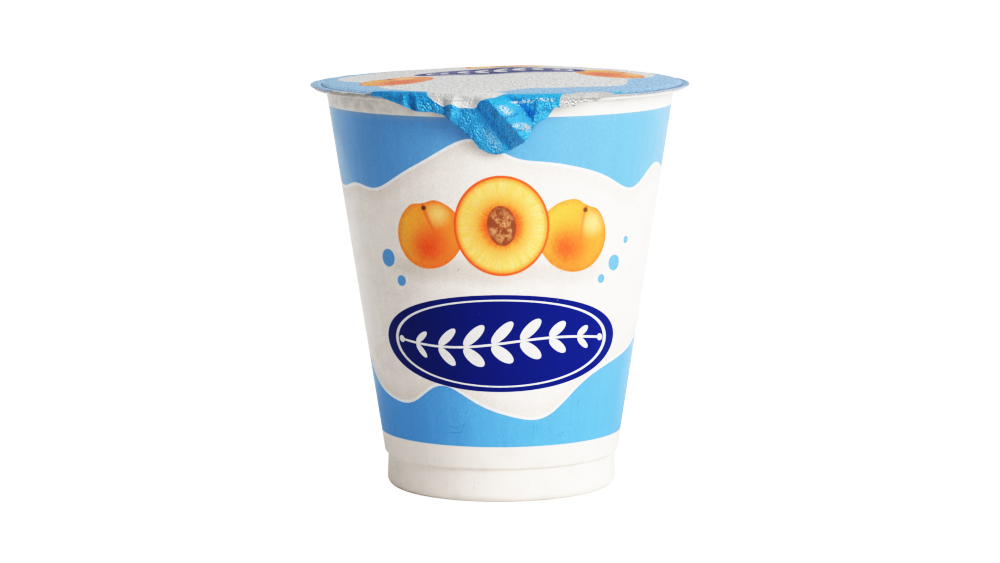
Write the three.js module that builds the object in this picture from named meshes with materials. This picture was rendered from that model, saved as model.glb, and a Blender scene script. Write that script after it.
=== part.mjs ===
// A shut yogurt pot: a thermoformed plastic cup, full and sealed, under a foil lid whose pull tab is
// folded down against the wall. Millimetres, +Z up, the tab at the front (-Y), and the origin on the
// axis in the plane that the cup stands on. Angles run round the pot from the front towards +X.

import * as THREE from 'three';

// The cup
const RIM_RADIUS = 47.5;
const RIM_TOP = 103.5;
const RIM_THICKNESS = 1.2;
const RIM_EDGE_RADIUS = 0.3;
const WALL_TOP_RADIUS = 44.4;
const RIM_FILLET = 0.7;
const SHOULDER_RADIUS = 30.2;
const SHOULDER_HEIGHT = 9.5;
const NECK_RADIUS = 29.2;
const NECK_HEIGHT = 7.4;
const STEP_ROUND = 0.4;
const FOOT_RADIUS = 29.5;
const FOOT_CORNER = 2.1;
const RING_WIDTH = 2.6;
const RECESS_DEPTH = 1.8;
const RECESS_SLOPE = 1.6;
const RECESS_CROWN = 0.5;
const CUP_SIDES = 80;
const ARC_STEP = 22.5;

// The foil
const FOIL = 0.3;
const FOIL_RADIUS = 48.5;
const EDGE_DROOP = 0.2;
const SEAL_INNER_RADIUS = 45.4;
const SEAL_STEP_WIDTH = 1.4;
const BULGE = 3.1;
const BULGE_LEAN = 1.4;
const BULGE_REACH = 48.6;
const DISC_RADII = [12, 23, 32, 39, 43, 44.4, SEAL_INNER_RADIUS, RIM_RADIUS];

// The folded tab: the fold's corner, how far the tab leans in for each mm that it hangs, and where its
// creases start below the fold and are at full height
const FOLD_CORNER = 0.55;
const TAB_LEAN = 0.33;
const CREASE_START = 0.3;
const CREASE_FULL = 2.5;

// The foil's mesh: rows down the tab, drawn together near the fold, and degrees between columns
const TAB_ROWS = 9;
const ROW_CROWDING = 1.3;
const TAB_STEP = 1.4;
const REST_STEP = 6;

// The tab's hem, as pairs of angle round the pot in degrees and drop below the lid
const HEM = [
  [-57, 0.9], [-38, 1.2], [-30.5, 2.6], [-26, 3.7], [-17, 4.1], [-13, 6.3], [-8.6, 9.6], [-6.4, 12.4],
  [-1.3, 14], [5.4, 12.2], [7.4, 11.4], [10.4, 6.3], [14.2, 5.1], [16.2, 2.2], [24, 2.3], [36, 0.9],
];

// Creases in the tab, each from one place to another as [mm round the rim, mm down], with its height
// outwards and how far it runs out to its left and right
const CREASES = [
  { from: [-2.0, 1.4], to: [6.2, 12.0], height: 1.3, left: 1.9, right: 5.5 },
  { from: [6.0, 0.8], to: [6.8, 5.6], height: -0.9, left: 2.6, right: 3.4 },
  { from: [-12.6, 0.8], to: [-11.4, 6.2], height: -0.8, left: 1.8, right: 1.2 },
  { from: [-22.6, 0.4], to: [-21.8, 3.6], height: -0.5, left: 1.0, right: 1.0 },
];

const AXIS_TO_Z = Math.PI / 2;

// A quarter of a round corner in the cup's outline, about its centre, from an angle in degrees on
function roundCorner(centreR, centreZ, radius, fromDeg, step = ARC_STEP) {
  const points = [];
  for (let deg = fromDeg; deg <= fromDeg + 90; deg += step) {
    const a = THREE.MathUtils.degToRad(deg);
    points.push(new THREE.Vector2(centreR + radius * Math.cos(a), centreZ + radius * Math.sin(a)));
  }
  return points;
}

// The recessed base, from its crowned middle out to the foot of its slope
function basePanel(panelRadius, steps = 4) {
  const points = [];
  for (let i = 0; i <= steps; i += 1) {
    const t = i / steps;
    points.push(new THREE.Vector2(panelRadius * t, RECESS_DEPTH + RECESS_CROWN * (1 - t * t)));
  }
  return points;
}

// The cup's outline from the middle of the recessed base, out over the standing ring, up the foot, the
// shoulder and the wall, round the flange and back along its top. The pot is shut, so it is filled.
function cupOutline() {
  const ringOuter = FOOT_RADIUS - FOOT_CORNER;
  const ringInner = ringOuter - RING_WIDTH;
  const rimBottom = RIM_TOP - RIM_THICKNESS;
  const edge = RIM_RADIUS - RIM_EDGE_RADIUS;
  const corner = 2 * ARC_STEP;
  const point = (r, z) => new THREE.Vector2(r, z);
  return [
    ...basePanel(ringInner - RECESS_SLOPE),
    point(ringInner, 0),
    ...roundCorner(ringOuter, FOOT_CORNER, FOOT_CORNER, -90),
    point(NECK_RADIUS, NECK_HEIGHT - STEP_ROUND),
    point(NECK_RADIUS + STEP_ROUND / 4, NECK_HEIGHT),
    point(SHOULDER_RADIUS - STEP_ROUND, SHOULDER_HEIGHT - 2 * STEP_ROUND),
    point(SHOULDER_RADIUS, SHOULDER_HEIGHT),
    point(WALL_TOP_RADIUS, rimBottom - RIM_FILLET),
    point(WALL_TOP_RADIUS + RIM_FILLET / 3, rimBottom - RIM_FILLET / 3),
    point(WALL_TOP_RADIUS + RIM_FILLET, rimBottom),
    ...roundCorner(edge, rimBottom + RIM_EDGE_RADIUS, RIM_EDGE_RADIUS, -90, corner),
    ...roundCorner(edge, RIM_TOP - RIM_EDGE_RADIUS, RIM_EDGE_RADIUS, 0, corner),
    point(0, RIM_TOP),
  ];
}

function makeCup() {
  const geometry = new THREE.LatheGeometry(cupOutline(), CUP_SIDES);
  geometry.rotateX(AXIS_TO_Z);
  const plastic = new THREE.MeshStandardMaterial({ color: 0xece7e1, roughness: 0.38, metalness: 0 });
  const cup = new THREE.Mesh(geometry, plastic);
  cup.name = 'cup';
  return cup;
}

// How far the foil is blown up by the air under it, more towards +X, with a pressed step at the seal
function bulge(x, y) {
  const r = Math.hypot(x, y);
  if (r > SEAL_INNER_RADIUS) return 0;
  const dome = (1 - (r / BULGE_REACH) ** 2) * (BULGE + (BULGE_LEAN * x) / SEAL_INNER_RADIUS);
  return dome * THREE.MathUtils.smoothstep(SEAL_INNER_RADIUS - r, 0, SEAL_STEP_WIDTH);
}

// Straight-line reading of the hem at an angle
function hemDrop(angle) {
  for (let i = 1; i < HEM.length; i += 1) {
    const [a0, d0] = HEM[i - 1];
    const [a1, d1] = HEM[i];
    if (angle <= a1) return THREE.MathUtils.lerp(d0, d1, (angle - a0) / (a1 - a0));
  }
  return HEM[HEM.length - 1][1];
}

// A crease's push outwards at a place on the tab, as a tent across the crease that fades past its ends
function creasePush(crease, u, d) {
  const from = new THREE.Vector2(...crease.from);
  const along = new THREE.Vector2(...crease.to).sub(from);
  const length = along.length();
  along.divideScalar(length);
  const at = new THREE.Vector2(u, d).sub(from);
  const t = THREE.MathUtils.clamp(at.dot(along), 0, length);
  const across = at.clone().addScaledVector(along, -t);
  const side = across.cross(along) > 0 ? crease.right : crease.left;
  return crease.height * Math.max(0, 1 - across.length() / side);
}

// A place on the foil's outer face in the tab, at an angle in degrees and a drop in mm
function tabPoint(angle, drop) {
  const u = THREE.MathUtils.degToRad(angle) * RIM_RADIUS;
  const turn = Math.min(1, drop / FOLD_CORNER);
  const corner = FOLD_CORNER * (1 - Math.sqrt(1 - (1 - turn) ** 2));
  let radius = FOIL_RADIUS - corner - TAB_LEAN * Math.max(0, drop - FOLD_CORNER);
  const fade = THREE.MathUtils.smoothstep(drop, CREASE_START, CREASE_FULL);
  for (const crease of CREASES) radius += fade * creasePush(crease, u, drop);
  return polar(Math.min(radius, FOIL_RADIUS), angle, RIM_TOP + FOIL - drop);
}

function polar(radius, angle, z) {
  const a = THREE.MathUtils.degToRad(angle);
  return new THREE.Vector3(radius * Math.sin(a), -radius * Math.cos(a), z);
}

// Closes a sheet into a solid: its outer and inner places, faces of the outer side turning
// anticlockwise, and walls along every edge that only one face has
function sheetSolid(outer, inner, faces) {
  const count = outer.length;
  const index = [];
  const edges = new Map();
  for (const face of faces) {
    for (let i = 1; i + 1 < face.length; i += 1) {
      index.push(face[0], face[i], face[i + 1]);
      index.push(face[0] + count, face[i + 1] + count, face[i] + count);
    }
    face.forEach((a, i) => {
      const b = face[(i + 1) % face.length];
      edges.set(`${a},${b}`, [a, b]);
    });
  }
  for (const [a, b] of edges.values()) {
    if (!edges.has(`${b},${a}`)) index.push(b, a, a + count, b, a + count, b + count);
  }
  const geometry = new THREE.BufferGeometry().setFromPoints([...outer, ...inner]);
  geometry.setIndex(index);
  geometry.computeVertexNormals();
  return geometry;
}

// The angles of the foil's columns: close together over the tab and its crimped ends, wide elsewhere
function columnAngles() {
  const first = HEM[0][0];
  const last = HEM[HEM.length - 1][0];
  const tabSteps = Math.round((last - first) / TAB_STEP);
  const restSteps = Math.round((360 - last + first) / REST_STEP);
  const angles = [];
  for (let i = 0; i <= tabSteps; i += 1) angles.push(first + ((last - first) * i) / tabSteps);
  for (let i = 1; i < restSteps; i += 1) angles.push(last + ((360 - last + first) * i) / restSteps);
  return { angles, tabSteps };
}

// One column of the foil's places from the middle of the disc to its edge, as pairs of outer and inner
// place. In the tab it goes on round the fold and down to the hem.
function foilColumn(angle, inTab) {
  const top = RIM_TOP + FOIL;
  const column = DISC_RADII.map((r) => {
    const out = polar(r, angle, top);
    out.z += bulge(out.x, out.y);
    return [out, new THREE.Vector3(out.x, out.y, out.z - FOIL)];
  });
  if (!inTab) {
    const edge = polar(FOIL_RADIUS, angle, top - EDGE_DROOP);
    column.push([edge, new THREE.Vector3(edge.x, edge.y, edge.z - FOIL)]);
    return column;
  }
  const start = FOLD_CORNER / 2;
  const hang = hemDrop(angle) - start;
  for (let i = 0; i <= TAB_ROWS; i += 1) {
    const out = tabPoint(angle, start + hang * (i / TAB_ROWS) ** ROW_CROWDING);
    const inwards = 1 - FOIL / Math.hypot(out.x, out.y);
    column.push([out, new THREE.Vector3(out.x * inwards, out.y * inwards, out.z)]);
  }
  return column;
}

// The lid is one sheet: the disc over the rim, and the tab and its crimped ends bent down over the
// flange's edge
function makeFoil() {
  const { angles, tabSteps } = columnAngles();
  const middle = new THREE.Vector3(0, 0, RIM_TOP + bulge(0, 0));
  const outer = [middle.clone().setZ(middle.z + FOIL)];
  const inner = [middle];
  const columns = angles.map((angle, c) => foilColumn(angle, c <= tabSteps).map(([out, inn]) => {
    inner.push(inn);
    return outer.push(out) - 1;
  }));
  const faces = [];
  columns.forEach((column, c) => {
    const next = columns[(c + 1) % columns.length];
    const rows = Math.min(column.length, next.length);
    faces.push([0, column[0], next[0]]);
    for (let i = 1; i < rows; i += 1) faces.push([column[i - 1], column[i], next[i], next[i - 1]]);
  });
  const printed = new THREE.MeshStandardMaterial({ color: 0x2f9fe0, roughness: 0.32, metalness: 0.6 });
  const foil = new THREE.Mesh(sheetSolid(outer, inner, faces), printed);
  foil.name = 'foil_lid';
  return foil;
}

const pot = new THREE.Group();
pot.add(makeCup(), makeFoil());

export default pot;
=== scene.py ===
import math

import bmesh
import bpy
import numpy as np
from mathutils import Euler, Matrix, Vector, noise


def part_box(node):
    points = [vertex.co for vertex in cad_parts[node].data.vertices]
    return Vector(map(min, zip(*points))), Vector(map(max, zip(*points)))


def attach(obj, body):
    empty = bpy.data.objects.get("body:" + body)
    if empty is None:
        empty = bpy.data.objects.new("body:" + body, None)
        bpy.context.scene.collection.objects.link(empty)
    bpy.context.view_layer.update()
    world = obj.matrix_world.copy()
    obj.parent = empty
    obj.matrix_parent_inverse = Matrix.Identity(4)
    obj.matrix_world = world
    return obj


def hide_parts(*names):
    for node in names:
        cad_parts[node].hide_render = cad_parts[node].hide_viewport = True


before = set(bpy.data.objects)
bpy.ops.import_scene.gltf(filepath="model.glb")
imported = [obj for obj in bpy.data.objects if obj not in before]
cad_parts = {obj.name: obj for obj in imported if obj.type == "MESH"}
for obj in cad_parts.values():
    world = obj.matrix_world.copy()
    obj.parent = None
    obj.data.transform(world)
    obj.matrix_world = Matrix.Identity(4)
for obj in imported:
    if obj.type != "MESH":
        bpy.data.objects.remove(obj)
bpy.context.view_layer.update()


# The cup is one thermoformed piece of warm white plastic: a flat sealing flange, a straight tapered
# wall, a rounded shoulder, an undercut foot and a recessed base. It is filled and shut, so it has no
# inside. Its print is ink laid straight on the wall, with a bare band above and below it.
MM = 0.001
RIM_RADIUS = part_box("cup")[1].x / MM
RIM_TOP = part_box("cup")[1].z / MM
RIM_THICKNESS = 1.0
RIM_EDGE_RADIUS = 0.25
WALL_TOP_RADIUS = 44.4
RIM_FILLET = 0.7
SHOULDER_RADIUS = 30.2
SHOULDER_HEIGHT = 9.5
SHOULDER_ROUND = 0.9
NECK_RADIUS = 29.25
NECK_HEIGHT = 8.6
FOOT_RADIUS = 29.5
FOOT_CORNER = 2.1
RING_WIDTH = 2.6
RECESS_DEPTH = 1.8
RECESS_SLOPE = 1.6
RECESS_CROWN = 0.5
RECESS_RINGS = 12
WALL_TOP_HEIGHT = RIM_TOP - RIM_THICKNESS - RIM_FILLET
WALL_RINGS = 60
CUP_COLUMNS = 360
CUP_CREASE_DEGREES = 50


def arc(centre, radius, start, stop, steps):
    """Points (radius, height) round a centre, from one angle to another in degrees."""
    angles = np.radians(np.linspace(start, stop, steps + 1))
    return [(centre[0] + radius * math.cos(a), centre[1] + radius * math.sin(a)) for a in angles]


def line(start, stop, steps):
    """Points from start, left out, to stop."""
    return [tuple(np.array(start) + (np.array(stop) - start) * i / steps) for i in range(1, steps + 1)]


def smooth(value, start, stop):
    """A smooth step from 0 at start to 1 at stop, for numbers or arrays."""
    t = np.clip((value - start) / (stop - start), 0, 1)
    return t * t * (3 - 2 * t)


def cup_outline():
    """The cup's outline from the middle of its base to the middle of its top, in millimetres."""
    ring_outer = FOOT_RADIUS - FOOT_CORNER
    ring_inner = ring_outer - RING_WIDTH
    panel = ring_inner - RECESS_SLOPE
    rim_bottom = RIM_TOP - RIM_THICKNESS
    edge = RIM_RADIUS - RIM_EDGE_RADIUS
    points = []
    for ring in range(RECESS_RINGS + 1):
        crown = RECESS_CROWN * (1 - (ring / RECESS_RINGS) ** 2)
        points.append((panel * ring / RECESS_RINGS, RECESS_DEPTH + crown))
    points += line(points[-1], (ring_inner, 0), 4)
    points += arc((ring_outer, FOOT_CORNER), FOOT_CORNER, -90, 0, 10)
    points += line(points[-1], (NECK_RADIUS, NECK_HEIGHT), 8)
    points += arc((SHOULDER_RADIUS - SHOULDER_ROUND, SHOULDER_HEIGHT), SHOULDER_ROUND, -80, 0, 9)
    points += line(points[-1], (WALL_TOP_RADIUS, WALL_TOP_HEIGHT), WALL_RINGS)
    points += arc((WALL_TOP_RADIUS + RIM_FILLET, WALL_TOP_HEIGHT), RIM_FILLET, 180, 90, 5)[1:]
    points += arc((edge, rim_bottom + RIM_EDGE_RADIUS), RIM_EDGE_RADIUS, -90, 0, 4)
    points += arc((edge, RIM_TOP - RIM_EDGE_RADIUS), RIM_EDGE_RADIUS, 0, 90, 4)
    points += line(points[-1], (0, RIM_TOP), 4)
    return points


def finish_mesh(shape, name, crease_degrees):
    """A smooth-shaded object in the scene from a bmesh, with its sharp corners kept."""
    for face in shape.faces:
        face.smooth = True
    mesh = bpy.data.meshes.new(name)
    shape.to_mesh(mesh)
    shape.free()
    mesh.set_sharp_from_angle(angle=math.radians(crease_degrees))
    piece = bpy.data.objects.new(name, mesh)
    bpy.context.scene.collection.objects.link(piece)
    return piece


def turned(name, outline, columns):
    """A closed piece turned round Z from an outline that starts and ends on the axis."""
    shape = bmesh.new()
    bottom = shape.verts.new((0, 0, outline[0][1] * MM))
    top = shape.verts.new((0, 0, outline[-1][1] * MM))
    rings = []
    for column in range(columns):
        a = 2 * math.pi * column / columns
        side = (math.sin(a), -math.cos(a))
        places = [(r * MM * side[0], r * MM * side[1], z * MM) for r, z in outline[1:-1]]
        rings.append([shape.verts.new(place) for place in places])
    for column in range(columns):
        here, there = rings[column], rings[(column + 1) % columns]
        shape.faces.new((bottom, there[0], here[0]))
        shape.faces.new((top, here[-1], there[-1]))
        for low, high in zip(range(len(here) - 1), range(1, len(here))):
            shape.faces.new((here[low], there[low], there[high], here[high]))
    return finish_mesh(shape, name, CUP_CREASE_DEGREES)


UPRIGHT_LIMIT = 0.75
WALL_STRIP_BASES = (0.57, 0.13)
WALL_STRIP_HEIGHT = 0.42
EDGE_STRIP_BASES = (0.1, 0.05)
EDGE_STRIP_HEIGHT = 0.03
EDGE_STRIP_LEFT = 0.5
EDGE_STRIP_WIDTH = 0.48
DISC_REACH = 0.052
DISC_LEVEL = 0.06
TOP_DISC = 0.06
BASE_DISC = 0.18
FLANGE_DISC = 0.3


def lay_out_bake_map(mesh):
    """A map for baked colour: the front and back of the wall fill two wide strips, and the flange's
    edge, the top and the base lie small below them."""
    layer = mesh.uv_layers.new(name="OFBake")
    for face in mesh.polygons:
        upright = abs(face.normal.z) < UPRIGHT_LIMIT
        rim = face.center.z > (RIM_TOP - RIM_THICKNESS) * MM
        back = face.center.y > 0
        for loop in face.loop_indices:
            x, y, z = mesh.vertices[mesh.loops[loop].vertex_index].co / MM
            half = math.atan2(-x, y) if back else math.atan2(x, -y)
            across = half / math.pi + 0.5
            if upright and not rim:
                place = (across, WALL_STRIP_BASES[back] + WALL_STRIP_HEIGHT * z / RIM_TOP)
            elif upright:
                rise = EDGE_STRIP_HEIGHT * (z - RIM_TOP) / RIM_THICKNESS
                place = (EDGE_STRIP_LEFT + across * EDGE_STRIP_WIDTH, EDGE_STRIP_BASES[back] + rise)
            else:
                centre = TOP_DISC if face.normal.z > 0 else (FLANGE_DISC if rim else BASE_DISC)
                place = (centre + DISC_REACH * x / RIM_RADIUS, DISC_LEVEL + DISC_REACH * y / RIM_RADIUS)
            layer.data[loop].uv = place


cup = turned("printed_cup", cup_outline(), CUP_COLUMNS)
lay_out_bake_map(cup.data)
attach(cup, "root")
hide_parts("cup")


class Reading:
    """A value, colour or place on its way through a node tree. Sums, products and the like of readings
    become Math nodes."""

    def __init__(self, tree, socket):
        self.tree = tree
        self.socket = socket

    def calc(self, operation, *others):
        return put(self.tree, "ShaderNodeMath", dict(enumerate((self, *others))), operation=operation)[0]

    def __add__(self, other):
        return self.calc("ADD", other)

    def __sub__(self, other):
        return self.calc("SUBTRACT", other)

    def __mul__(self, other):
        return self.calc("MULTIPLY", other)

    def __truediv__(self, other):
        return self.calc("DIVIDE", other)

    def __neg__(self):
        return self * -1.0

    def __abs__(self):
        return self.calc("ABSOLUTE")

    def least(self, other):
        return self.calc("MINIMUM", other)

    def most(self, other):
        return self.calc("MAXIMUM", other)

    def sine(self):
        return self.calc("SINE")

    def cosine(self):
        return self.calc("COSINE")

    def wrap(self, reach):
        return self.calc("WRAP", reach, -reach)

    def fade(self, start, stop, low=0.0, high=1.0):
        """A smooth step from low at start to high at stop."""
        inputs = {"Value": self, "From Min": start, "From Max": stop, "To Min": low, "To Max": high}
        return put(self.tree, "ShaderNodeMapRange", inputs, interpolation_type="SMOOTHSTEP")["Result"]


def put(tree, kind, inputs=None, **settings):
    """A new node in a tree with its settings, and its inputs set or linked. Gives its outputs, by name
    and by number."""
    node = tree.nodes.new(kind)
    for key, value in settings.items():
        setattr(node, key, value)
    for key, value in (inputs or {}).items():
        if isinstance(value, Reading):
            tree.links.new(value.socket, node.inputs[key])
        else:
            is_colour = node.inputs[key].type == "RGBA"
            node.inputs[key].default_value = (*value, 1.0) if is_colour else value
    outputs = {socket.name: Reading(tree, socket) for socket in node.outputs}
    outputs.update({i: Reading(tree, socket) for i, socket in enumerate(node.outputs)})
    return outputs


def length(x, y):
    """The length of a vector with two parts."""
    return (x * x + y * y).calc("SQRT")


def place_of(tree, x, y, z=0.0):
    """Three values as one place."""
    return put(tree, "ShaderNodeCombineXYZ", {"X": x, "Y": y, "Z": z})[0]


def over(tree, below, above, mask):
    """One colour laid over another through a mask."""
    inputs = {0: mask, 6: below, 7: above}
    return put(tree, "ShaderNodeMix", inputs, data_type="RGBA")[2]


def speckle(tree, place, scale, detail=2.0, roughness=0.5, distortion=0.0):
    """Noise from 0 to 1 at a place."""
    inputs = {"Vector": place, "Scale": scale, "Detail": detail, "Roughness": roughness}
    inputs["Distortion"] = distortion
    return put(tree, "ShaderNodeTexNoise", inputs)[0]


def new_group(name, inputs, outputs):
    """An empty node group with value inputs, as name and start value, and outputs, as name and kind.
    Gives the group, the readings of its inputs, and a function that sends a reading to an output."""
    kinds = {"value": "NodeSocketFloat", "colour": "NodeSocketColor"}
    group = bpy.data.node_groups.new(name, "ShaderNodeTree")
    for title, value in inputs.items():
        group.interface.new_socket(title, in_out="INPUT", socket_type=kinds["value"]).default_value = value
    for title, kind in outputs.items():
        group.interface.new_socket(title, in_out="OUTPUT", socket_type=kinds[kind])
    given = put(group, "NodeGroupInput")
    results = group.nodes.new("NodeGroupOutput").inputs

    def give(**readings):
        for title, reading in readings.items():
            group.links.new(reading.socket, results[title.replace("_", " ")])
        return group

    return group, given, give


def use(tree, group, **inputs):
    """A node group placed in a tree, and its outputs."""
    node = tree.nodes.new("ShaderNodeGroup")
    node.node_tree = group
    for key, value in inputs.items():
        socket = node.inputs[key.replace("_", " ")]
        if isinstance(value, Reading):
            tree.links.new(value.socket, socket)
        else:
            socket.default_value = value
    return {socket.name: Reading(tree, socket) for socket in node.outputs}


INK_EDGE = 0.06


def inked(outside, grow=0.0):
    """The mask of a printed shape from how far a place lies outside it, in millimetres."""
    return outside.fade(grow - INK_EDGE, grow + INK_EDGE, 1.0, 0.0)


def make_ellipse_group():
    """How far a place lies outside an ellipse, and the place in units of its half width and height."""
    inputs = {"X": 0.0, "Y": 0.0, "Centre X": 0.0, "Centre Y": 0.0}
    inputs.update({"Width": 10.0, "Height": 10.0, "Tilt": 0.0})
    tree, given, give = new_group("Ellipse", inputs, {"Outside": "value", "Across": "value", "Up": "value"})
    x, y = given["X"] - given["Centre X"], given["Y"] - given["Centre Y"]
    cosine, sine = given["Tilt"].cosine(), given["Tilt"].sine()
    half_width, half_height = given["Width"] * 0.5, given["Height"] * 0.5
    across = (x * cosine + y * sine) / half_width
    up = (y * cosine - x * sine) / half_height
    outside = (length(across, up) - 1.0) * half_width.least(half_height)
    return give(Outside=outside, Across=across, Up=up)


def make_unroll_group():
    """A place on the pot as the angle round it in radians, the angle within the front or back half, the
    distance in millimetres along the wall from that half's middle, and the height in millimetres."""
    outputs = {"Angle": "value", "Half Angle": "value", "Across": "value", "Height": "value"}
    tree, _, give = new_group("Unroll the wall", {}, outputs)
    place = put(tree, "ShaderNodeTexCoord")["Object"]
    axes = put(tree, "ShaderNodeSeparateXYZ", {0: place})
    x, y, z = (axes[i] / MM for i in range(3))
    angle = x.calc("ARCTAN2", -y)
    half = angle.wrap(math.pi / 2)
    return give(Angle=angle, Half_Angle=half, Across=half * length(x, y), Height=z)


ELLIPSE = make_ellipse_group()
UNROLL = make_unroll_group()

FRUIT_YELLOW = (0.95, 0.46, 0.08)
FRUIT_ORANGE = (0.95, 0.30, 0.055)
FRUIT_BLUSH = (0.90, 0.12, 0.03)
FRUIT_PALE = (1.0, 0.70, 0.28)
FRUIT_FLESH = (0.98, 0.55, 0.13)
FRUIT_STALK = (0.10, 0.07, 0.03)
STONE_DARK = (0.28, 0.09, 0.04)
STONE_PALE = (0.60, 0.30, 0.14)
FRUIT_INPUTS = {"X": 0.0, "Y": 0.0, "Centre X": 0.0, "Centre Y": 0.0, "Size": 22.0, "Tilt": 0.0}
FRUIT_OUTPUTS = {"Colour": "colour", "Mask": "value"}


def fruit_face(tree, given, flatness):
    """The ellipse that a printed fruit fills: how far a place lies outside it, the place in it, and how
    far that is from its middle."""
    shape = use(tree, ELLIPSE, X=given["X"], Y=given["Y"], Centre_X=given["Centre X"], Tilt=given["Tilt"],
                Centre_Y=given["Centre Y"], Width=given["Size"], Height=given["Size"] * flatness)
    across, up = shape["Across"], shape["Up"]
    return shape["Outside"], across, up, length(across, up)


def near(across, up, x, y, reach):
    """1 at a place in the fruit, falling to 0 at a distance of reach."""
    return length(across - x, up - y).fade(0.0, reach, 1.0, 0.0)


def make_whole_fruit_group():
    """A printed whole fruit: yellow on one side and orange on the other, with a red blush, a groove
    that runs down from the stalk, and a bright patch."""
    tree, given, give = new_group("Whole fruit", FRUIT_INPUTS, FRUIT_OUTPUTS)
    outside, across, up, far = fruit_face(tree, given, 0.95)
    below_stalk = -up + 0.78
    off_groove = abs(across - below_stalk * below_stalk * 0.22 - 0.08)
    notch = off_groove.fade(0.0, 0.42, 1.0, 0.0) * up.fade(0.2, 0.9)
    outside = outside + notch * given["Size"] * 0.045
    skin = speckle(tree, place_of(tree, across, up), 9.0, 4.0, 0.6)
    colour = over(tree, FRUIT_YELLOW, FRUIT_ORANGE, across.fade(-0.75, 0.45))
    blush = near(across, up, -0.12, -0.38, 0.95) * skin.fade(0.25, 0.6, 0.75, 1.0)
    colour = over(tree, colour, FRUIT_BLUSH, blush)
    colour = over(tree, colour, FRUIT_PALE, near(across, up, 0.42, 0.48, 0.5) * 0.7)
    groove = off_groove.fade(0.0, 0.09, 0.6, 0.0) * up.fade(-0.45, 0.5)
    colour = over(tree, colour, FRUIT_BLUSH, groove)
    colour = over(tree, colour, FRUIT_BLUSH, (far + skin * 0.25).fade(0.9, 1.25, 0.0, 0.7))
    stalk = near(across, up, 0.08, 0.76, 0.14).fade(0.3, 0.7, 0.0, 0.9)
    return give(Colour=over(tree, colour, FRUIT_STALK, stalk), Mask=inked(outside))


def make_half_fruit_group():
    """A printed fruit cut in half: a thin red skin, yellow flesh with fibres, a red stain and the
    wrinkled stone."""
    tree, given, give = new_group("Half fruit", FRUIT_INPUTS, FRUIT_OUTPUTS)
    outside, across, up, far = fruit_face(tree, given, 1.06)
    turn = up.calc("ARCTAN2", across)
    fibre_place = place_of(tree, turn.cosine() * 7.0, turn.sine() * 7.0, far)
    fibres = speckle(tree, fibre_place, 2.2, 3.0, 0.6)
    colour = over(tree, FRUIT_FLESH, FRUIT_PALE, fibres.fade(0.35, 0.7, 0.0, 0.7))
    stain = far - fibres * 0.3
    colour = over(tree, colour, FRUIT_ORANGE, stain.fade(0.2, 0.62, 0.95, 0.0))
    colour = over(tree, colour, FRUIT_BLUSH, stain.fade(0.12, 0.36, 0.95, 0.0))
    colour = over(tree, colour, FRUIT_ORANGE, far.fade(0.84, 0.93, 0.0, 0.75))
    colour = over(tree, colour, FRUIT_BLUSH, far.fade(0.92, 0.97, 0.0, 0.95))
    dents = speckle(tree, place_of(tree, across, up), 7.0, 3.0, 0.7, 0.8)
    stone_far = length(across / 0.30, up / 0.40)
    stone = over(tree, STONE_PALE, STONE_DARK, dents.fade(0.38, 0.56))
    stone = over(tree, stone, STONE_DARK, stone_far.fade(0.6, 1.0, 0.0, 0.8))
    return give(Colour=over(tree, colour, stone, stone_far.fade(0.96, 1.04, 1.0, 0.0)), Mask=inked(outside))


WHOLE_FRUIT = make_whole_fruit_group()
HALF_FRUIT = make_half_fruit_group()

NAVY = (0.001, 0.014, 0.20)
ORNAMENT_WHITE = (0.82, 0.80, 0.77)
OVAL_WIDTH = 66.0
OVAL_RULE_INSET = 1.4
OVAL_RULE_HALF_WIDTH = 0.2
LEAF_PITCH = 7.2
LEAF_LENGTH = 7.0
LEAF_WIDTH = 2.9
LEAF_TILT = math.radians(42)
STEM_HALF_LENGTH = 27.5
STEM_HALF_WIDTH = 0.3
BUD_RADIUS = 0.9


def make_oval_group():
    """A plain navy oval with a thin white line inside its edge and a white sprig of paired leaves."""
    inputs = {"X": 0.0, "Y": 0.0, "Width": OVAL_WIDTH, "Height": 25.0}
    tree, given, give = new_group("Navy oval", inputs, FRUIT_OUTPUTS)
    outside = use(tree, ELLIPSE, **{key: given[key] for key in inputs})["Outside"]
    scale = given["Width"] / OVAL_WIDTH
    x, y = given["X"] / scale, given["Y"] / scale
    above = y - (x * 0.11).sine() * 1.2
    leaf_size = abs(x).fade(6.0, 27.0, 1.0, 0.5)
    leaf = use(tree, ELLIPSE, X=x.wrap(LEAF_PITCH / 2), Y=abs(above), Tilt=LEAF_TILT,
               Centre_X=0.35, Centre_Y=leaf_size * 2.8,
               Width=leaf_size * LEAF_LENGTH, Height=leaf_size * LEAF_WIDTH)["Outside"]
    leaf = leaf.most(abs(x) - 3.5 * LEAF_PITCH)
    stem = (abs(above) - STEM_HALF_WIDTH).most(abs(x) - STEM_HALF_LENGTH)
    bud = length(abs(x) - STEM_HALF_LENGTH, above) - BUD_RADIUS
    rule = abs(outside + OVAL_RULE_INSET) - OVAL_RULE_HALF_WIDTH
    white = inked(leaf.least(stem).least(bud).least(rule))
    return give(Colour=over(tree, NAVY, ORNAMENT_WHITE, white), Mask=inked(outside))


NAVY_OVAL = make_oval_group()

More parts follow.
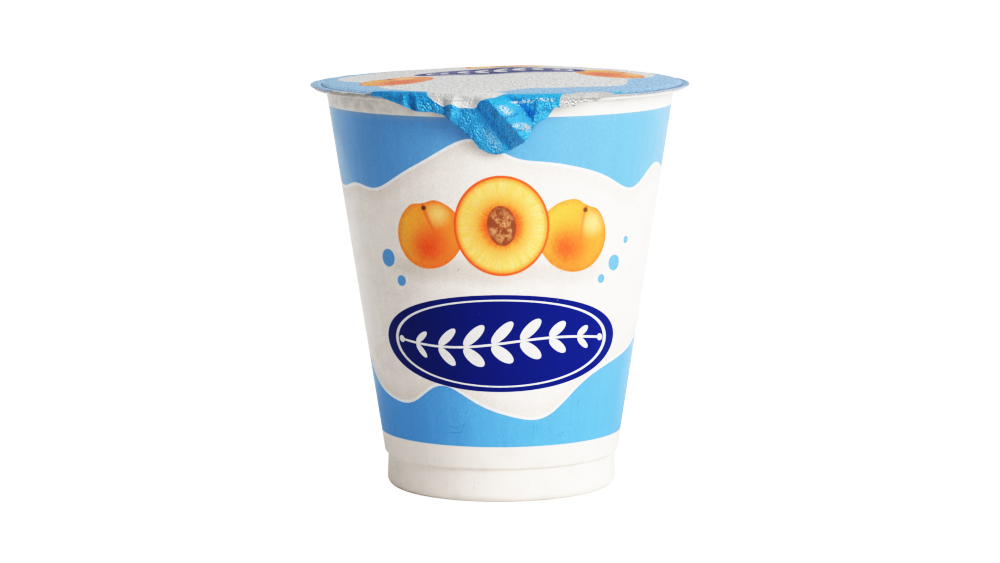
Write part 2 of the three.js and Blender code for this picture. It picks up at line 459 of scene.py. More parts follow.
PRINT_BOTTOM = 14.6
PRINT_TOP = 98.6
PLASTIC_WHITE = (0.89, 0.85, 0.79)
FOOT_WHITE = (0.92, 0.845, 0.765)
PRINT_CREAM = (0.88, 0.81, 0.74)
PRINT_WHITE = (0.88, 0.86, 0.84)
CREAM_SHADE = (0.66, 0.58, 0.51)
SKY_BLUE = (0.155, 0.375, 0.67)
DEEP_BLUE = (0.13, 0.385, 0.745)
DUST_BROWN = (0.20, 0.16, 0.12)
# Grey for smudges on the bare plastic, and for the painted shade under the flange.
SMUDGE_AND_SHADE_GREY = (0.50, 0.48, 0.45)
SCRATCH_BLUE = (0.03, 0.10, 0.20)
UPPER_WAVE = (84.0, ((2, 5.0, 0.0), (4, 3.4, 0.6), (8, 1.9, 2.4)))
LOWER_WAVE = (30.0, ((2, -6.5, 0.3), (4, 4.0, 1.2), (6, 2.2, 2.6)))
CREST_LEAN = 0.07
WAVE_EDGE_WIDTH = 0.8
WALL_FRUITS = (
    (WHOLE_FRUIT, -18.5, 69.0, 18.5, 0.3), (WHOLE_FRUIT, 19.0, 68.5, 19.5, -0.35),
    (HALF_FRUIT, 0.3, 71.5, 24.0, 0.12),
)
WALL_DROPS = (
    (-31.5, 62.0, 4.6), (-27.0, 56.5, 2.8), (32.0, 60.5, 4.2), (27.5, 56.8, 2.4), (36.5, 66.0, 2.0),
)
WALL_OVAL_HEIGHT = 41.5


def wavy(angle, level, waves, lean=0.0):
    """The height of a wavy border at an angle: a level, and waves as (count, height, shift). Lean makes
    the crests roll to one side."""
    bent = angle + (angle * 6.0).sine() * lean
    height = None
    for count, size, shift in waves:
        wave = (bent * float(count) + shift).cosine() * size
        height = wave + level if height is None else height + wave
    return height


def printed_fields(tree, across, half, height):
    """Cream, with a light-blue field above and below it, each ending in a rolling white-edged wave, and
    a soft shade on the cream along the waves."""
    upper = wavy(half, *UPPER_WAVE, CREST_LEAN) - height
    lower = height - wavy(half, *LOWER_WAVE, -CREST_LEAN)
    field = upper.least(lower)
    blue = over(tree, DEEP_BLUE, SKY_BLUE, height.fade(PRINT_BOTTOM, 60.0))
    swirls = speckle(tree, place_of(tree, across * 0.05, height * 0.11), 1.0, 1.5, 0.4, 1.4)
    ripple = (field * 0.8 - across * 0.03).sine().fade(0.1, 1.0) * field.fade(3.0, 13.0, 0.32, 0.0)
    shade = field.fade(1.0, 5.5, 0.4, 0.0).most(swirls.fade(0.55, 0.68, 0.0, 0.2))
    shade = shade.most(ripple * swirls.fade(0.4, 0.52))
    cream = over(tree, PRINT_CREAM, CREAM_SHADE, shade)
    edged = over(tree, cream, PRINT_WHITE, inked(field, WAVE_EDGE_WIDTH))
    return over(tree, edged, blue, inked(field))


def printed_motifs(tree, colour, across, height):
    """A halved fruit between two whole ones over soft shadows, a few round drops, and the navy oval
    below them."""
    for _, x, y, size, _ in WALL_FRUITS:
        shadow = use(tree, ELLIPSE, X=across, Y=height, Centre_X=x - 1.2, Centre_Y=y - 0.47 * size,
                     Width=size * 1.05, Height=size * 0.34)["Outside"]
        colour = over(tree, colour, CREAM_SHADE, shadow.fade(-2.0, 1.6, 0.8, 0.0))
    for x, y, size in WALL_DROPS:
        drop = use(tree, ELLIPSE, X=across, Y=height, Centre_X=x, Centre_Y=y, Width=size, Height=size)
        colour = over(tree, colour, SKY_BLUE, inked(drop["Outside"]))
    for group, x, y, size, tilt in WALL_FRUITS:
        fruit = use(tree, group, X=across, Y=height, Centre_X=x, Centre_Y=y, Size=size, Tilt=tilt)
        colour = over(tree, colour, fruit["Colour"], fruit["Mask"])
    oval = use(tree, NAVY_OVAL, X=across, Y=height - WALL_OVAL_HEIGHT)
    return over(tree, colour, oval["Colour"], oval["Mask"])


def scratch(tree, x, y, start, stop, width):
    """The mask of a straight scratch between two places, in millimetres."""
    middle = [(a + b) / 2 for a, b in zip(start, stop)]
    tilt = math.atan2(stop[1] - start[1], stop[0] - start[0])
    mark = use(tree, ELLIPSE, X=x, Y=y, Centre_X=middle[0], Centre_Y=middle[1], Tilt=tilt,
               Width=math.dist(start, stop), Height=width)
    return mark["Outside"].fade(-width / 2, width / 2, 0.55, 0.0)


SCRATCHES = (
    ((-16.2, 19.9), (-13.6, 19.3), 0.15), ((-13.6, 19.3), (-11.2, 20.4), 0.13),
    ((-11.2, 20.4), (-12.6, 18.2), 0.12), ((-12.6, 18.2), (-16.8, 17.9), 0.13),
    ((9.6, 15.4), (9.9, 21.0), 0.12), ((10.8, 18.0), (11.0, 20.4), 0.12),
    ((24.0, 24.0), (24.4, 26.6), 0.12),
)
WALL_MIDDLE_RADIUS = 38.0
SMUDGE_AND_SHADE_TURN = 1.2


def new_material(name):
    """A material with its node tree and its Principled shader."""
    material = bpy.data.materials.new(name)
    material.use_nodes = True
    tree = material.node_tree
    return material, tree, next(node for node in tree.nodes if node.type == "BSDF_PRINCIPLED")


def make_cup_material():
    """Satin white plastic with ink on its wall, faint streaks from the forming, dust and handling marks,
    and a grey band of smudges and painted shade under the flange, heaviest on the left.
    """
    material, tree, skin = new_material("printed_plastic")
    unrolled = use(tree, UNROLL)
    angle, half, across, height = (unrolled[key] for key in ("Angle", "Half Angle", "Across", "Height"))
    round_x, round_y = angle.sine() * WALL_MIDDLE_RADIUS, angle.cosine() * WALL_MIDDLE_RADIUS
    place = place_of(tree, round_x, round_y, height)
    colour = printed_motifs(tree, printed_fields(tree, across, half, height), across, height)
    streaks = speckle(tree, place_of(tree, round_x * 0.5, round_y * 0.5, height * 0.05), 1.0, 1.0)
    dots = speckle(tree, place, 2.4, 1.0, 0.5)
    ink_depth = streaks.fade(0.3, 0.7, 0.98, 1.02) * dots.fade(0.3, 0.7, 0.94, 1.06)
    shades = put(tree, "ShaderNodeHueSaturation", {"Value": ink_depth, "Color": colour})["Color"]
    band = abs(height - (PRINT_TOP + PRINT_BOTTOM) / 2) - (PRINT_TOP - PRINT_BOTTOM) / 2
    blotches = speckle(tree, place, 0.11, 3.0)
    bare = over(tree, FOOT_WHITE, PLASTIC_WHITE, height.fade(12.0, 90.0))
    bare = over(tree, bare, SMUDGE_AND_SHADE_GREY, blotches.fade(0.45, 0.85, 0.0, 0.3))
    colour = over(tree, bare, shades, inked(band))
    # Painted shade: a mottled grey band just above the print, under the flange's edge, heaviest on the
    # left, away from the key lamp.
    smudge_and_shade = height.fade(PRINT_TOP - 2, PRINT_TOP + 2)
    smudge_and_shade = smudge_and_shade * speckle(tree, place, 0.3, 4.0, 0.6).fade(0.3, 0.7, 0.3, 1.0)
    smudge_and_shade = smudge_and_shade * (angle + SMUDGE_AND_SHADE_TURN).cosine().fade(-0.2, 0.75, 0.2, 0.85)
    colour = over(tree, colour, SMUDGE_AND_SHADE_GREY, smudge_and_shade)
    hairs = abs(speckle(tree, place, 0.16, 2.0, 0.5, 2.5) - 0.5).fade(0.0, 0.005, 1.0, 0.0)
    handled = speckle(tree, place, 0.09, 1.0).fade(0.5, 0.62) * height.fade(PRINT_BOTTOM, 44.0, 0.5, 0.0)
    colour = over(tree, colour, SCRATCH_BLUE, hairs * handled)
    for start, stop, width in SCRATCHES:
        mark = scratch(tree, angle * WALL_MIDDLE_RADIUS, height, start, stop, width)
        colour = over(tree, colour, SCRATCH_BLUE, mark)
    dust = put(tree, "ShaderNodeTexVoronoi", {"Vector": place, "Scale": 0.2, "Randomness": 1.0})
    chosen = put(tree, "ShaderNodeSeparateColor", {0: dust["Color"]})[0].fade(0.86, 0.88)
    colour = over(tree, colour, DUST_BROWN, dust["Distance"].fade(0.02, 0.06, 0.7, 0.0) * chosen)
    tree.links.new(colour.socket, skin.inputs["Base Color"])
    rough = blotches.fade(0.3, 0.8, 0.36, 0.46) - inked(band) * 0.04
    tree.links.new(rough.socket, skin.inputs["Roughness"])
    relief = speckle(tree, place, 0.35, 1.0) + streaks * 0.4 + inked(band) * 0.3
    bump = put(tree, "ShaderNodeBump", {"Height": relief, "Strength": 0.25, "Distance": 0.05 * MM})[0]
    tree.links.new(bump.socket, skin.inputs["Normal"])
    skin.inputs["Specular IOR Level"].default_value = 0.3
    return material


cup.data.materials.append(make_cup_material())


# The lid is one sheet of printed aluminium foil, pressed all over with a fine pebble grain and
# heat-sealed to the flange. Air under it makes it bulge. Its pull tab is folded down over the
# flange's edge at the front, where it is creased and crumpled.
FOIL_TOP = RIM_TOP + 0.3
FOIL_THICKNESS = 0.25
FOIL_RADIUS = 48.5
EDGE_DROOP = 0.2
SEAL_INNER_RADIUS = 46.2
SEAL_SHIFT = 0.6
SEAL_STEP_WIDTH = 1.4
SEAL_LINE_RADIUS = SEAL_INNER_RADIUS + 0.2
SEAL_LINE_DEPTH = 0.28
SEAL_LINE_WIDTH = 0.28
BULGE = 3.1
BULGE_LEAN = 1.4
BULGE_REACH = 48.6
FOLD_CORNER = 0.75
FOLD_RISE = (
    (-44, 0), (-40.5, 0.9), (-33, 1.2), (-22, 1.3), (-10, 1.25), (4, 0.95), (18, 0.85), (25, 0.5), (31, 0),
)
FOLD_STRIP = 1.3
TAB_LEAN = 0.33
HEM = (
    (-42, 0.3), (-37.3, 0.4), (-28.2, 2.7), (-26.5, 3.6), (-20.3, 3.7), (-16.9, 4.4), (-11.5, 8.05),
    (-8.2, 10.85), (-6.7, 12.6), (-3.6, 13.85), (-1.3, 14.2), (1.9, 13.8), (4.7, 12.45), (7, 11.05),
    (9, 9.0), (10.5, 6.3), (12.4, 5.9), (14.4, 5.0), (15.9, 2.55), (22.2, 2.6), (23.3, 1.5), (29.2, 1.55),
    (30.5, 0.7), (36, 0.3),
)
CREASES = (
    ((-2.8, 1.3), (6.3, 11.0), 2.6, 3.5, 4.6),
    ((-5.8, 3.9), (3.3, 13.6), -0.6, 2.6, 1.2),
    ((2.2, 0.9), (7.1, 4.6), -1.0, 1.6, 1.3),
    ((9.5, 0.9), (8.4, 4.6), 0.7, 1.6, 2.8),
    ((1.2, 5.8), (8.6, 4.4), -0.5, 0.9, 1.0),
    ((-11.2, 1.2), (-11.9, 5.0), 1.1, 2.4, 1.8),
    ((-13.9, 1.4), (-13.6, 4.6), -0.4, 1.6, 0.8),
    ((-22.9, 0.3), (-21.8, 3.2), -1.0, 1.0, 0.6),
    ((-24.2, 0.6), (-23.6, 3.2), 0.7, 1.6, 0.6),
    ((-20.9, 0.4), (-20.6, 3.4), 0.7, 0.6, 3.0),
    ((-0.2, 5.0), (3.2, 4.6), 0.7, 0.8, 2.0),
    ((3.4, 8.0), (8.2, 6.9), 0.6, 0.7, 1.8),
)
FINE_CREASES = 16
FOLD_REACH = 50.4
TAB_STEP_DEG = 0.3
REST_STEP_DEG = 2.0
TAB_ROWS = 56
FOIL_CREASE_DEGREES = 60


def noise_at(x, y, z=0.0):
    """Noise from -1 to 1 at each of several places."""
    spread = np.broadcast_arrays(x, y, z)
    values = [noise.noise(Vector(place)) for place in zip(*(axis.ravel() for axis in spread))]
    return np.array(values).reshape(spread[0].shape)


def fold_rise(angles):
    """How far the foil stands up off the flange at the tab's fold, by angle in degrees."""
    return np.interp(angles, *zip(*FOLD_RISE))


def disc_height(x, y):
    """The foil's height over the rim at places on the disc: the bulge, the pressed seal ring, long soft
    wrinkles, the rise to the tab's fold, and the crimped edge."""
    r = np.hypot(x, y)
    turn = np.arctan2(x, -y)
    dome = (1 - (r / BULGE_REACH) ** 2) * (BULGE + BULGE_LEAN * x / SEAL_INNER_RADIUS)
    height = dome * smooth(SEAL_INNER_RADIUS - np.hypot(x - SEAL_SHIFT, y), 0, SEAL_STEP_WIDTH)
    height += 0.35 * noise_at(x * 0.07, y * 0.07, 3.0) * smooth(44 - r, 0, 10)
    off_seal = np.hypot(x - SEAL_SHIFT, y) - SEAL_LINE_RADIUS
    height -= SEAL_LINE_DEPTH * np.exp(-((off_seal / SEAL_LINE_WIDTH) ** 2))
    height += fold_rise(np.degrees(turn)) * smooth(r, 43.0, 47.6)
    crimps = 0.16 * noise_at(turn * 9, 5.0) + 0.09 * noise_at(turn * 25, 9.0)
    beside_tab = smooth(np.degrees(turn), -68, -60) * smooth(np.degrees(turn), -38, -42)
    crimps = crimps * (1 + 1.6 * beside_tab)
    return height - smooth(r, RIM_RADIUS - 0.9, FOIL_RADIUS) * (EDGE_DROOP - crimps)


def fine_creases():
    """Short slight creases strewn over the tab, the same each time."""
    draw = np.random.default_rng(11)
    for _ in range(FINE_CREASES):
        start = np.array((draw.uniform(-24, 26), draw.uniform(0.8, 9)))
        turn = draw.uniform(0, math.pi)
        stop = start + draw.uniform(1.5, 3.5) * np.array((math.cos(turn), math.sin(turn)))
        yield start, stop, draw.choice((-1, 1)) * draw.uniform(0.12, 0.28), *draw.uniform(0.5, 1.3, 2)


def crease_push(u, d):
    """How far the creases push the tab outwards at places in mm round the rim and down from it."""
    push = np.zeros_like(u)
    for start, stop, height, left, right in (*CREASES, *fine_creases()):
        along = np.array(stop) - start
        span = np.hypot(*along)
        along /= span
        du, dd = u - start[0], d - start[1]
        t = np.clip(du * along[0] + dd * along[1], 0, span)
        across_u, across_d = du - t * along[0], dd - t * along[1]
        side = np.where(across_u * along[1] - across_d * along[0] > 0, right, left)
        push += height * np.maximum(0, 1 - np.hypot(across_u, across_d) / side)
    return push


def tab_places(angles, share):
    """Radius and height on the hanging tab, by angle in degrees and share of the way down to the hem."""
    hem = np.interp(angles, *zip(*HEM))
    start = FOLD_CORNER / 4
    drop = start + (hem - start) * share ** 1.25
    u = np.radians(angles) * RIM_RADIUS
    turn = np.minimum(1, drop / FOLD_CORNER)
    corner = FOLD_CORNER * (1 - np.sqrt(1 - (1 - turn) ** 2))
    radius = FOIL_RADIUS - corner - TAB_LEAN * np.maximum(0, drop - FOLD_CORNER)
    radius = radius + smooth(drop, 0.3, 2.0) * crease_push(u, drop)
    crumple = 0.16 * (0.5 - np.abs(noise_at(u * 0.34, drop * 0.30, 1.0)) * 2)
    crumple += 0.10 * (0.5 - np.abs(noise_at(u * 0.8, drop * 0.7, 7.0)) * 2)
    radius = radius + crumple * smooth(drop, 0.4, 2.5)
    over_flange = RIM_RADIUS + 0.4 - 4 * smooth(drop, RIM_THICKNESS + 0.3, RIM_THICKNESS + 2.0)
    radius = np.maximum(radius, np.minimum(over_flange, FOIL_RADIUS - corner))
    rise = fold_rise(angles) * (1 - smooth(drop / hem, 0, 1))
    return np.minimum(radius, FOLD_REACH), FOIL_TOP + rise - drop


def make_foil():
    """The lid's sheet, thickened downwards and inwards."""
    first, last = HEM[0][0], HEM[-1][0]
    tab_angles = np.linspace(first, last, round((last - first) / TAB_STEP_DEG) + 1)
    rest_angles = np.linspace(last, first + 360, round((360 - last + first) / REST_STEP_DEG) + 1)[1:-1]
    turn = np.radians(np.concatenate([tab_angles, rest_angles]))
    radii = np.concatenate([np.arange(3, 43, 2.0), np.arange(43, 47.0, 0.25), np.arange(47.0, 48.2, 0.2)])
    x, y = np.outer(radii, np.sin(turn)), np.outer(radii, -np.cos(turn))
    z = FOIL_TOP + disc_height(x, y)
    share = np.arange(TAB_ROWS + 1) / TAB_ROWS
    tab_radius, tab_height = tab_places(*np.meshgrid(tab_angles, share, indexing="ij"))
    sheet = bmesh.new()
    middle = sheet.verts.new((0, 0, (FOIL_TOP + BULGE) * MM))
    columns = []
    for c, a in enumerate(turn):
        column = [(x[i, c], y[i, c], z[i, c]) for i in range(len(radii))]
        side = np.array((math.sin(a), -math.cos(a)))
        if c < len(tab_angles):
            column += [(*(side * r), h) for r, h in zip(tab_radius[c], tab_height[c])]
        else:
            edge = side * FOIL_RADIUS
            column.append((*edge, FOIL_TOP + disc_height(*edge)[()]))
        columns.append([sheet.verts.new(Vector(place) * MM) for place in column])
    for here, there in zip(columns, columns[1:] + columns[:1]):
        sheet.faces.new((middle, here[0], there[0]))
        for low in range(min(len(here), len(there)) - 1):
            sheet.faces.new((here[low], here[low + 1], there[low + 1], there[low]))
    piece = finish_mesh(sheet, "foil_lid_sheet", FOIL_CREASE_DEGREES)
    gauge = piece.modifiers.new("foil gauge", "SOLIDIFY")
    gauge.thickness = FOIL_THICKNESS * MM
    gauge.offset = -1.0
    return piece


foil = make_foil()
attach(foil, "root")
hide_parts("foil_lid")

GRAIN_PEBBLE = 0.6
GRAIN_RELIEF = 0.17
TAB_BLUE = (0.05, 0.47, 0.90)
TAB_SHADE = (0.01, 0.16, 0.33)
LID_BLUE = (0.33, 0.55, 0.85)
LID_WHITE = (0.79, 0.785, 0.77)
BARE_FOIL = (0.66, 0.65, 0.63)
PIT_SHADE_GREY = (0.13, 0.145, 0.17)
GLINT_SILVER = (0.92, 0.93, 0.94)
LID_FRUITS = (
    (WHOLE_FRUIT, -26.0, -14.0, 19.0, 0.4), (HALF_FRUIT, 2.0, 21.0, 22.0, 0.2),
    (WHOLE_FRUIT, 28.0, -6.0, 18.0, -0.5),
)
LID_OVAL = {"Width": 44.0, "Height": 17.0}
LID_OVAL_DROP = 1.0
WHITE_BORDER = (39.0, ((3, 2.2, 0.5), (5, 2.2, 2.2), (8, 1.3, 0.4)), 0.06)
WHITE_SPILL = {"Centre_X": -8.0, "Centre_Y": -45.7, "Width": 20.0, "Height": 12.6}
BARE_PATCH = {"Centre_X": 25.4, "Centre_Y": -44.5, "Width": 22.0, "Height": 13.0, "Tilt": 0.52}
TORN_BORDER = (46.9, ((31, 0.5, 0.4), (57, 0.3, 1.0)))
TORN_MIDDLE = -0.89
TAB_MIDDLE = -0.1
TAB_HALF_TURN = 0.6
# Where the painted glints lie: a strip along the fold and spots on the tab's facets.
GLINT_FOLD_REACH = 51.0
GLINT_FOLD_RADIUS = 50.0
GLINT_FOLD_MIDDLE = 0.165
GLINT_FOLD_HALF_WIDTH = 0.4
GLINT_FOLD_HALF_LENGTH = 5.5
GLINT_SPOTS = (
    (1.5, -55.2, 4.4, 3.4, -0.3, 1.0), (6.5, -58.8, 6.8, 2.6, 0.2, 1.0),
    (-2.5, -60.8, 9.0, 4.0, -0.85, 0.3),
)


def pressed_grain(tree, place, pebble):
    """The foil's pressed grain, on the flat sheet: small rounded pebbles of uneven size that lie close
    together, with narrow valleys between them, as a height from 0 to 1."""
    warp = put(tree, "ShaderNodeTexNoise", {"Vector": place, "Scale": 0.7 / pebble, "Detail": 1.0})["Color"]
    bend = {0: warp, 1: (0.9, 0.9, 0.0), 2: place}
    bent = put(tree, "ShaderNodeVectorMath", bend, operation="MULTIPLY_ADD")[0]
    cells = put(tree, "ShaderNodeTexVoronoi", {"Vector": bent, "Scale": 1 / pebble, "Smoothness": 0.25},
                feature="SMOOTH_F1", voronoi_dimensions="2D")
    return cells["Distance"].fade(0.0, 0.75, 1.0, 0.0)


def place_on_flat_sheet(tree):
    """Where a place on the foil lay before the tab was folded: X, Y and reach from the middle, and the
    folded sheet's own radius and drop below the lid."""
    place = put(tree, "ShaderNodeTexCoord")["Object"]
    in_mm = put(tree, "ShaderNodeVectorMath", {0: place, "Scale": 1 / MM}, operation="SCALE")[0]
    axes = put(tree, "ShaderNodeSeparateXYZ", {0: in_mm})
    radius = length(axes[0], axes[1])
    drop = (-axes[2] + FOIL_TOP).most(0.0)
    folded = radius.fade(47.2, 48.2).most(drop.fade(0.4, 0.8))
    past_fold = (-axes[2] + FOIL_TOP + folded * FOLD_STRIP).most(0.0)
    reach = radius + past_fold * (1 + TAB_LEAN)
    return axes[0] * reach / radius, axes[1] * reach / radius, reach, radius, drop


def printed_lid(tree, colour, x, y, white):
    """White ink, the fruits and the navy oval laid over the blue, and the mask of the opaque inks."""
    ink = inked(white)
    colour = over(tree, colour, LID_WHITE, ink)
    for group, fruit_x, fruit_y, size, tilt in LID_FRUITS:
        fruit = use(tree, group, X=x, Y=y, Centre_X=fruit_x, Centre_Y=fruit_y, Size=size, Tilt=tilt)
        colour = over(tree, colour, fruit["Colour"], fruit["Mask"])
        ink = ink.most(fruit["Mask"])
    oval = use(tree, NAVY_OVAL, X=x, Y=y + LID_OVAL_DROP, **LID_OVAL)
    return over(tree, colour, oval["Colour"], oval["Mask"]), ink


def bare_metal(tree, x, y, angle, reach, radius, drop):
    """The mask of the foil that no ink covers: the patch to the right of the tab, the cut edge, and the
    torn lip at the tab's left end."""
    patch = inked(use(tree, ELLIPSE, X=x, Y=y, **BARE_PATCH)["Outside"])
    cut_edge = radius.fade(48.1, 48.3) * drop.fade(0.45, 0.6, 0.7, 0.0)
    cut_edge = cut_edge * abs(angle - TAB_MIDDLE).fade(TAB_HALF_TURN, TAB_HALF_TURN + 0.04)
    torn = inked(wavy(angle, *TORN_BORDER) - reach) * abs(angle - TORN_MIDDLE).fade(0.13, 0.2, 1.0, 0.0)
    return patch.most(cut_edge).most(torn)


def painted_glints(tree, x, y, angle, reach, grain):
    """The mask of painted glints: bright silver on the tops of the grain, in a strip along the fold and
    in spots on the tab's facets, where the crinkled foil catches the lamp.
    """
    off_fold = abs(reach - GLINT_FOLD_REACH) - GLINT_FOLD_HALF_WIDTH
    past_end = abs(angle - GLINT_FOLD_MIDDLE) * GLINT_FOLD_RADIUS - GLINT_FOLD_HALF_LENGTH
    glints = off_fold.most(past_end).fade(-0.2, 0.3, 0.8, 0.0)
    for spot_x, spot_y, width, height, tilt, depth in GLINT_SPOTS:
        spot = use(tree, ELLIPSE, X=x, Y=y, Centre_X=spot_x, Centre_Y=spot_y, Width=width, Height=height,
                   Tilt=tilt)
        glints = glints.most(spot["Outside"].fade(-1.0, 0.5, depth, 0.0))
    return glints * grain.fade(0.3, 0.65)


def make_foil_material():
    """Inks on foil: opaque white and fruit colours on the disc, clear blue that lets the metal shine
    round the edge and on the tab, and bare metal where the ink stops. Painted glints of bright silver lie
    along the fold and on the tab, and painted shade darkens the grain's valleys, patches of the top and
    the seal line. The print is laid out on the flat sheet."""
    material, tree, skin = new_material("printed_foil")
    x, y, reach, radius, drop = place_on_flat_sheet(tree)
    angle = x.calc("ARCTAN2", -y)
    on_top = drop.fade(0.3, 1.0, 1.0, 0.0)
    hanging = drop.fade(0.5, 2.0)
    grain = pressed_grain(tree, place_of(tree, x, y), GRAIN_PEBBLE)
    mottle = speckle(tree, place_of(tree, x, y), 0.7, 5.0, 0.75)
    on_tab = reach.fade(45.0, 46.5) * abs(angle).fade(0.68, 0.76, 1.0, 0.0)
    # Painted shade: the tab's blue is darker in the grain's valleys.
    tab_ink = over(tree, TAB_BLUE, TAB_SHADE, grain.fade(0.0, 0.5, 0.35, 0.0))
    spill = use(tree, ELLIPSE, X=x, Y=y, **WHITE_SPILL)["Outside"]
    white = (reach - wavy(angle, *WHITE_BORDER)).least(spill)
    colour, ink = printed_lid(tree, over(tree, LID_BLUE, tab_ink, on_tab), x, y, white)
    bare = bare_metal(tree, x, y, angle, reach, radius, drop)
    colour = over(tree, colour, BARE_FOIL, bare)
    # Painted glints: bright silver where the tab's crinkles and the fold catch the lamp, made more metallic
    # too.
    glints = painted_glints(tree, x, y, angle, reach, grain)
    colour = over(tree, colour, GLINT_SILVER, glints)
    # Painted shade: grey in the grain's valleys, weaker on the tab.
    valleys = grain.fade(0.0, 0.45, 0.4, 0.0) * on_tab.fade(0.0, 1.0, 1.0, 0.15)
    colour = over(tree, colour, PIT_SHADE_GREY, valleys)
    # Painted shade: dark mottled patches on the lid's top, where the pressed relief would shade.
    colour = over(tree, colour, PIT_SHADE_GREY, mottle.fade(0.48, 0.66, 0.0, 0.4) * on_top)
    # Painted shade along the groove of the seal ring.
    seal = abs(length(x - SEAL_SHIFT, y) - SEAL_LINE_RADIUS).fade(0.1, 0.35, 0.9, 0.0)
    colour = over(tree, colour, PIT_SHADE_GREY, seal * mottle.fade(0.3, 0.45) * on_top)
    tree.links.new(colour.socket, skin.inputs["Base Color"])
    metal = ink.fade(0.0, 1.0, 0.6, 0.2).most(bare.most(glints) * 0.8) * on_top.fade(0.0, 1.0, 1.0, 0.7)
    tree.links.new(metal.socket, skin.inputs["Metallic"])
    rough = grain.fade(0.0, 1.0, 0.42, 0.26) + on_top * 0.16
    tree.links.new(rough.socket, skin.inputs["Roughness"])
    relief = grain + mottle * on_top.fade(0.0, 1.0, 2.5, 5.0)
    depth = GRAIN_RELIEF * MM
    bump = put(tree, "ShaderNodeBump", {"Height": relief, "Strength": 1.0, "Distance": depth})[0]
    tree.links.new(bump.socket, skin.inputs["Normal"])
    tree.links.new(bump.socket, skin.inputs["Coat Normal"])
    tree.links.new((hanging * 0.7 + 0.1).socket, skin.inputs["Coat Weight"])
    skin.inputs["Coat Roughness"].default_value = 0.16
    skin.inputs["Coat IOR"].default_value = 1.75
    return material


foil.data.materials.append(make_foil_material())


# The stage is a plain white table under soft studio light: one large lamp to the right of the camera,
# a weaker one overhead, and a surround that is white behind the pot and dimmer in front of it.
TABLE_HALF = 6.0
TABLE_WHITE = (0.8, 0.8, 0.8)
TABLE_IN_REFLECTIONS = (0.42, 0.42, 0.42)
TABLE_GLOW = 1.5
GLOW_IN_REFLECTIONS = 1.1


def make_table():
    """A large plain white table top. It glows a little for the camera so that it stays white, and the
    part behind the pot glows in reflections too, which gives the wall's edges their pale sheen."""
    low, high = -TABLE_HALF, TABLE_HALF
    corners = [(low, low, 0), (high, low, 0), (high, high, 0), (low, high, 0)]
    mesh = bpy.data.meshes.new("table")
    mesh.from_pydata(corners, [], [(0, 1, 2, 3)])
    material, tree, surface = new_material("white_table")
    surface.inputs["Roughness"].default_value = 0.9
    surface.inputs["Specular IOR Level"].default_value = 0.1
    surface.inputs["Emission Color"].default_value = (1, 1, 1, 1)
    ray = put(tree, "ShaderNodeLightPath")
    white = over(tree, TABLE_WHITE, TABLE_IN_REFLECTIONS, ray["Is Glossy Ray"])
    tree.links.new(white.socket, surface.inputs["Base Color"])
    place = put(tree, "ShaderNodeSeparateXYZ", {0: put(tree, "ShaderNodeTexCoord")["Object"]})
    behind = place[1].fade(0.0, 0.18)
    glow = ray["Is Camera Ray"] * TABLE_GLOW + ray["Is Glossy Ray"] * behind * GLOW_IN_REFLECTIONS
    tree.links.new(glow.socket, surface.inputs["Emission Strength"])
    mesh.materials.append(material)
    table = bpy.data.objects.new("table", mesh)
    bpy.context.scene.collection.objects.link(table)
    return table


LAMP_AIM = Vector((0, 0, 0.055))


def make_lamp(name, azimuth, elevation, distance, size, power):
    """A square soft lamp that looks at the pot, with angles in degrees from the front towards +X."""
    a, e = math.radians(azimuth), math.radians(elevation)
    away = Vector((math.sin(a) * math.cos(e), -math.cos(a) * math.cos(e), math.sin(e)))
    data = bpy.data.lights.new(name, "AREA")
    data.shape = "SQUARE"
    data.size = size
    data.energy = power
    lamp = bpy.data.objects.new(name, data)
    lamp.location = LAMP_AIM + away * distance
    lamp.rotation_euler = away.to_track_quat("Z", "Y").to_euler()
    bpy.context.scene.collection.objects.link(lamp)
    return lamp


GROUND_WHITE = 2.2


def make_surround():
    """The world: white to the camera, and for the rest bright behind the pot and dim in front. What
    shines sees less of it on the left, as if a dark board stood there."""
    world = bpy.data.worlds.new("white_surround")
    world.use_nodes = True
    tree = world.node_tree
    direction = put(tree, "ShaderNodeSeparateXYZ", {0: put(tree, "ShaderNodeTexCoord")["Generated"]})
    lit = direction[1].fade(-0.2, 0.7, 0.28, 1.0)
    ray = put(tree, "ShaderNodeLightPath")
    boarded = direction[0].fade(-0.9, -0.5, 0.7, 0.0) * ray["Is Glossy Ray"]
    strength = lit * (-boarded + 1.0) + ray["Is Camera Ray"] * GROUND_WHITE
    background = next(node for node in tree.nodes if node.type == "BACKGROUND")
    background.inputs["Color"].default_value = (1, 1, 1, 1)
    tree.links.new(strength.socket, background.inputs["Strength"])
    return world


make_table()
make_lamp("key_lamp", azimuth=46, elevation=28, distance=0.9, size=0.55, power=10.5)
make_lamp("top_lamp", azimuth=10, elevation=78, distance=0.9, size=0.7, power=1.6)
bpy.context.scene.world = make_surround()

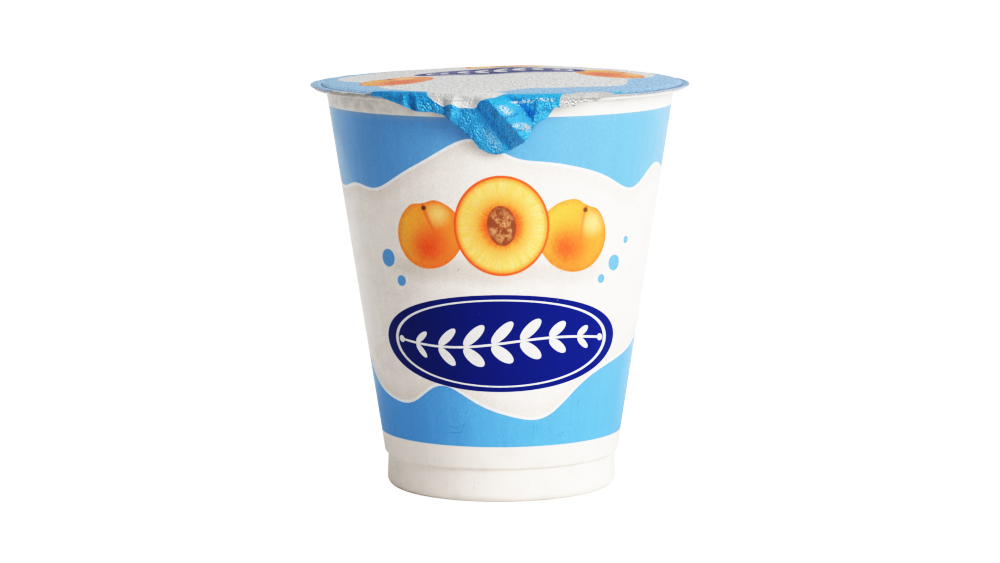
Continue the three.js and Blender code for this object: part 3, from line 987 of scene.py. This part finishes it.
# The picture is developed as the photograph is. The tone curve makes the shadows deeper, keeps the
# middle tones, and lets the brightest ones run softly into white.
TONE_REACH = 2.2
TONE_POINTS = (
    (0.0, 0.0), (0.06, 0.02), (0.12, 0.058), (0.256, 0.19), (0.38, 0.34), (0.5, 0.49), (0.7, 0.665),
    (0.875, 0.785), (1.05, 0.87), (1.37, 0.95), (1.8, 0.99), (2.2, 1.0),
)


def develop(view):
    """Set the tone curve."""
    view.view_transform = "Standard"
    view.use_curve_mapping = True
    mapping = view.curve_mapping
    mapping.white_level = (TONE_REACH,) * 3
    points = mapping.curves[3].points
    for point, place in zip((points[0], points[-1]), (TONE_POINTS[0], TONE_POINTS[-1])):
        point.location = (place[0] / TONE_REACH, place[1])
    for bright, shown in TONE_POINTS[1:-1]:
        points.new(bright / TONE_REACH, shown)
    mapping.update()


develop(bpy.context.scene.view_settings)

# The camera stands where the photograph was taken from: in front of the pot, about 0.93 m away and
# looking down a little, with a long lens.
CAMERA_DISTANCE = 0.9307
CAMERA_ELEVATION = math.radians(7.712)
CAMERA_ROLL = math.radians(0.216)
AIM_HEIGHT = 0.05236
PIXELS_PER_MM = 3.881
AXIS_PIXEL = 500.67
PHOTO_WIDTH = 1000


def make_camera():
    """The camera, aimed at the pot's axis."""
    data = bpy.data.cameras.new("photo_camera")
    data.lens = PIXELS_PER_MM * CAMERA_DISTANCE / MM / PHOTO_WIDTH * data.sensor_width
    data.shift_x = (PHOTO_WIDTH / 2 - AXIS_PIXEL) / PHOTO_WIDTH
    data.clip_start = 0.05
    camera = bpy.data.objects.new("photo_camera", data)
    away = Vector((0, -math.cos(CAMERA_ELEVATION), math.sin(CAMERA_ELEVATION)))
    camera.location = Vector((0, 0, AIM_HEIGHT)) + away * CAMERA_DISTANCE
    camera.rotation_euler = Euler((math.pi / 2 - CAMERA_ELEVATION, 0, 0))
    camera.rotation_euler.rotate_axis("Z", -CAMERA_ROLL)
    bpy.context.scene.collection.objects.link(camera)
    return camera


bpy.context.scene.camera = make_camera()
